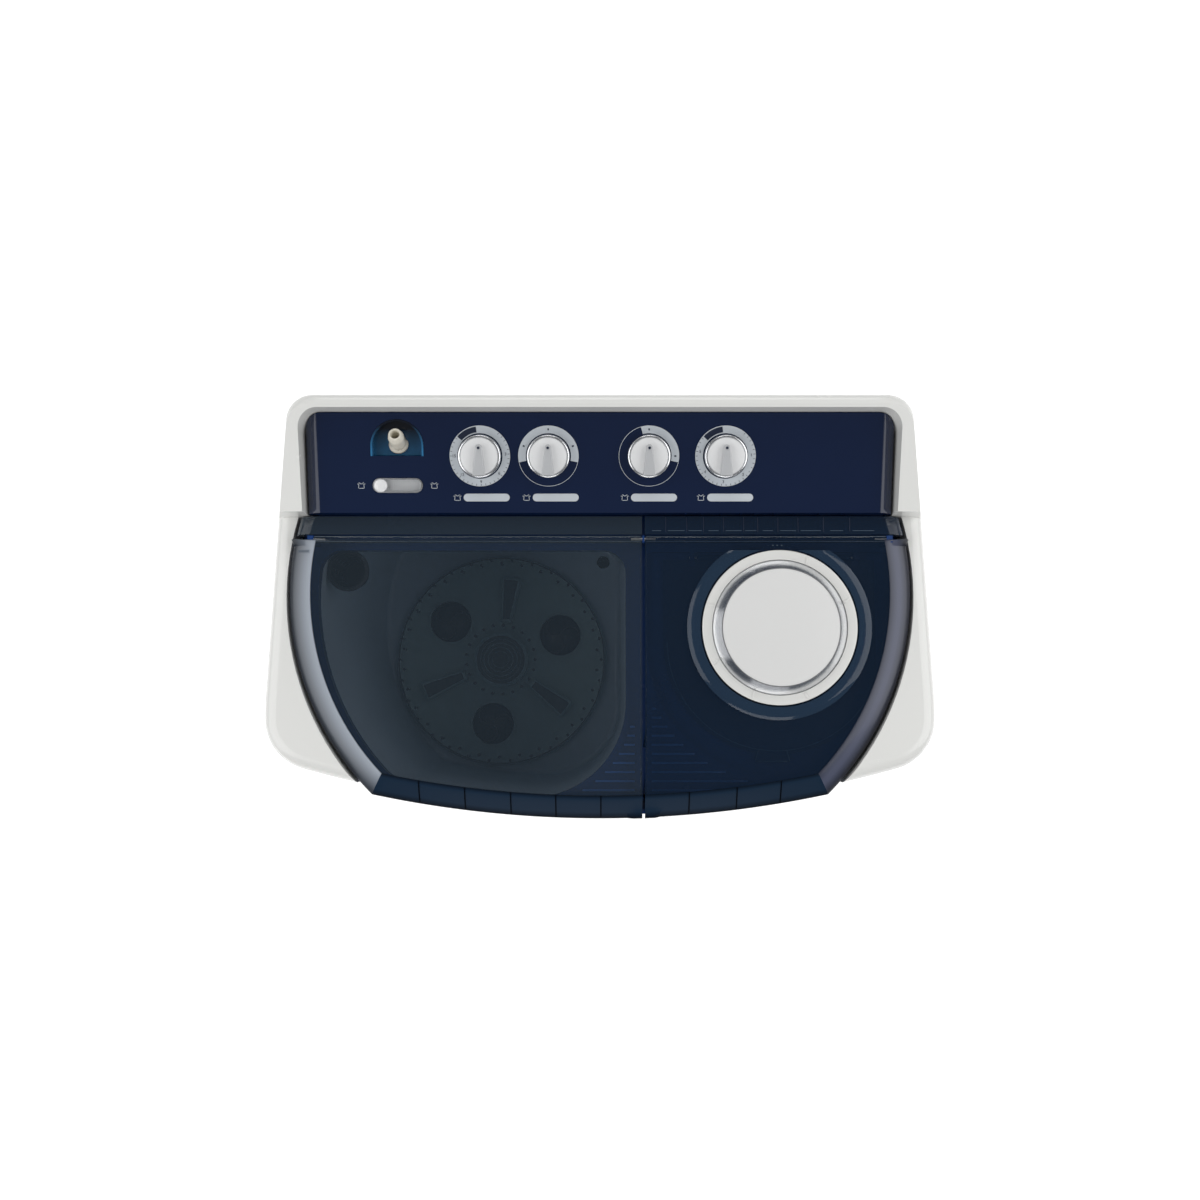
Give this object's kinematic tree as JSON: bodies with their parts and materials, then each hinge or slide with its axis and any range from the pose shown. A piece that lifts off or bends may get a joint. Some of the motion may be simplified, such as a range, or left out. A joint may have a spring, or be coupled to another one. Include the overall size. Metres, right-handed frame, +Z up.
{
  "type": "twin tub washer",
  "caption": "Top-loading twin tub washer with a pulsator wash tub, a spin basket beside it, clear hinged lids and a sloping control panel.",
  "frame": {"origin": "on the floor, under the middle of the machine's overall box", "axes": "+Z up, +X to the user's right, the front faces -Y"},
  "size_m": [0.77, 0.476, 0.94],
  "materials": {
    "white_body": "smooth white cabinet shell",
    "white_gloss": "glossy white moulding",
    "base_plastic": "grey moulded base",
    "dark_plastic": "dark moulded plastic",
    "grey_sheet": "grey painted sheet",
    "steel": "plain steel",
    "spring_steel": "spring wire",
    "cast_metal": "cast light alloy",
    "bronze": "oil-filled bronze",
    "black_rubber": "black rubber",
    "navy_panel": "glossy navy fascia",
    "blue_deck": "royal blue deck",
    "blue_cover": "dark blue inner cover",
    "tub_plastic": "pale grey tub",
    "pulsator_plastic": "light grey-green disc",
    "basket_plastic": "light grey basket",
    "ivory_plastic": "ivory fittings",
    "silver_trim": "silvered trim",
    "bright_trim": "bright plated ring",
    "satin_silver": "satin silver-white",
    "pale_print": "pale dial ring",
    "motor_paint": "dark painted motor",
    "clear_lid": "smoky clear lid",
    "tinted_lid": "navy tinted lid"
  },
  "bodies": {
    "machine": {"cabinet": "white_body", "handle_cups": "dark_plastic", "rear_cover": "grey_sheet", "rear_screws": "steel", "cord_gland": "black_rubber", "base_tray": "base_plastic", "feet": "black_rubber", "top_frame": "white_gloss", "rear_surround": "white_gloss", "control_panel": "navy_panel", "inlet_cup": "navy_panel", "inlet_spout": "ivory_plastic", "slide_tray": "silver_trim", "deck": "blue_deck", "wash_tub": "tub_plastic", "lint_filter": "dark_plastic", "wash_housing": "cast_metal", "wash_bushes": "bronze", "wash_seal": "black_rubber", "drive_belt": "black_rubber", "wash_motor": "motor_paint", "spin_tub": "tub_plastic", "spin_bellows": "black_rubber", "brake_band": "steel", "spin_motor": "motor_paint", "spin_springs": "spring_steel", "drain_valve": "base_plastic", "drain_hoses": "black_rubber", "drain_outlet": "base_plastic", "capacitors": "dark_plastic", "buzzer": "dark_plastic", "hinge_strip": "tinted_lid", "hinge_pins": "steel", "dial_rings": "pale_print", "timers": "dark_plastic", "wash_switch": "dark_plastic", "drain_switch": "dark_plastic"},
    "wash_lid": {"wash_lid": "clear_lid"},
    "spin_lid": {"spin_lid": "tinted_lid", "cap_base": "white_gloss"},
    "wind_cap": {"cap_ring": "bright_trim", "cap_disc": "satin_silver"},
    "safety_cover": {"safety_cover": "blue_cover"},
    "wash_timer_knob": {"wash_timer_knob": "satin_silver"},
    "wash_selector_knob": {"wash_selector_knob": "satin_silver"},
    "drain_selector_knob": {"drain_selector_knob": "satin_silver"},
    "spin_timer_knob": {"spin_timer_knob": "satin_silver"},
    "water_slide": {"slide_button": "silver_trim", "water_chute": "ivory_plastic"},
    "drain_plunger": {"drain_plunger": "ivory_plastic"},
    "pulsator": {"pulsator": "pulsator_plastic", "wash_shaft": "steel", "drive_pulley": "cast_metal"},
    "roller_1": {"roller_1": "pulsator_plastic"},
    "roller_2": {"roller_2": "pulsator_plastic"},
    "roller_3": {"roller_3": "pulsator_plastic"},
    "wash_rotor": {"wash_rotor": "steel"},
    "spin_basket": {"spin_basket": "basket_plastic", "spin_shaft": "steel", "brake_drum": "cast_metal"}
  },
  "joints": [
    {"name": "wash_lid_hinge", "type": "hinge", "parent": "machine", "child": "wash_lid", "pos_m": [0, 0.08, 0.8735], "axis": [-1, 0, 0], "range_deg": [0, 95]},
    {"name": "spin_lid_hinge", "type": "hinge", "parent": "machine", "child": "spin_lid", "pos_m": [0, 0.08, 0.8735], "axis": [-1, 0, 0], "range_deg": [0, 85]},
    {"name": "safety_cover_hinge", "type": "hinge", "parent": "machine", "child": "safety_cover", "pos_m": [0.204, 0.064, 0.8337], "axis": [-1, 0, 0], "range_deg": [0, 76.5]},
    {"name": "wind_cap_turn", "type": "hinge", "parent": "spin_lid", "child": "wind_cap", "pos_m": [0.204, -0.021, 0.87362], "axis": [0, -0.0433, 0.9991], "range_deg": [-15, 0]},
    {"name": "wash_timer_turn", "type": "hinge", "parent": "machine", "child": "wash_timer_knob", "pos_m": [-0.135, 0.17002, 0.90579], "axis": [0, -0.2467, 0.9691], "range_deg": [-330, 0]},
    {"name": "wash_selector_turn", "type": "hinge", "parent": "machine", "child": "wash_selector_knob", "pos_m": [-0.058, 0.17002, 0.90579], "axis": [0, -0.2467, 0.9691], "range_deg": [-50, 50]},
    {"name": "drain_selector_turn", "type": "hinge", "parent": "machine", "child": "drain_selector_knob", "pos_m": [0.055, 0.17002, 0.90579], "axis": [0, -0.2467, 0.9691], "range_deg": [-90, 0]},
    {"name": "spin_timer_turn", "type": "hinge", "parent": "machine", "child": "spin_timer_knob", "pos_m": [0.141, 0.17002, 0.90579], "axis": [0, -0.2467, 0.9691], "range_deg": [-330, 0]},
    {"name": "water_slide", "type": "slide", "parent": "machine", "child": "water_slide", "axis": [1, 0, 0], "range_m": [0, 0.038]},
    {"name": "drain_pull", "type": "slide", "parent": "machine", "child": "drain_plunger", "axis": [0, 0, 1], "range_m": [0, 0.012]},
    {"name": "pulsator_spin", "type": "hinge", "parent": "machine", "child": "pulsator", "pos_m": [-0.15, -0.04, 0.4], "axis": [0, 0, 1], "continuous": true},
    {"name": "roller_1_spin", "type": "hinge", "parent": "pulsator", "child": "roller_1", "pos_m": [-0.06071, -0.0021, 0.395], "axis": [0, 0, 1], "continuous": true},
    {"name": "roller_2_spin", "type": "hinge", "parent": "pulsator", "child": "roller_2", "pos_m": [-0.22747, 0.01838, 0.395], "axis": [0, 0, 1], "continuous": true},
    {"name": "roller_3_spin", "type": "hinge", "parent": "pulsator", "child": "roller_3", "pos_m": [-0.16182, -0.13628, 0.395], "axis": [0, 0, 1], "continuous": true},
    {"name": "wash_rotor_spin", "type": "hinge", "parent": "machine", "child": "wash_rotor", "pos_m": [-0.27, 0.14, 0.25], "axis": [0, 0, 1], "continuous": true},
    {"name": "spin_basket_spin", "type": "hinge", "parent": "machine", "child": "spin_basket", "pos_m": [0.204, -0.035, 0.466], "axis": [0, 0, 1], "continuous": true}
  ],
  "couplings": [
    {"joint": "safety_cover_hinge", "follows": "spin_lid_hinge", "ratio": 0.9},
    {"joint": "drain_pull", "follows": "drain_selector_turn", "m_per_rad": -0.0076394},
    {"joint": "wash_rotor_spin", "follows": "pulsator_spin", "ratio": 4}
  ]
}
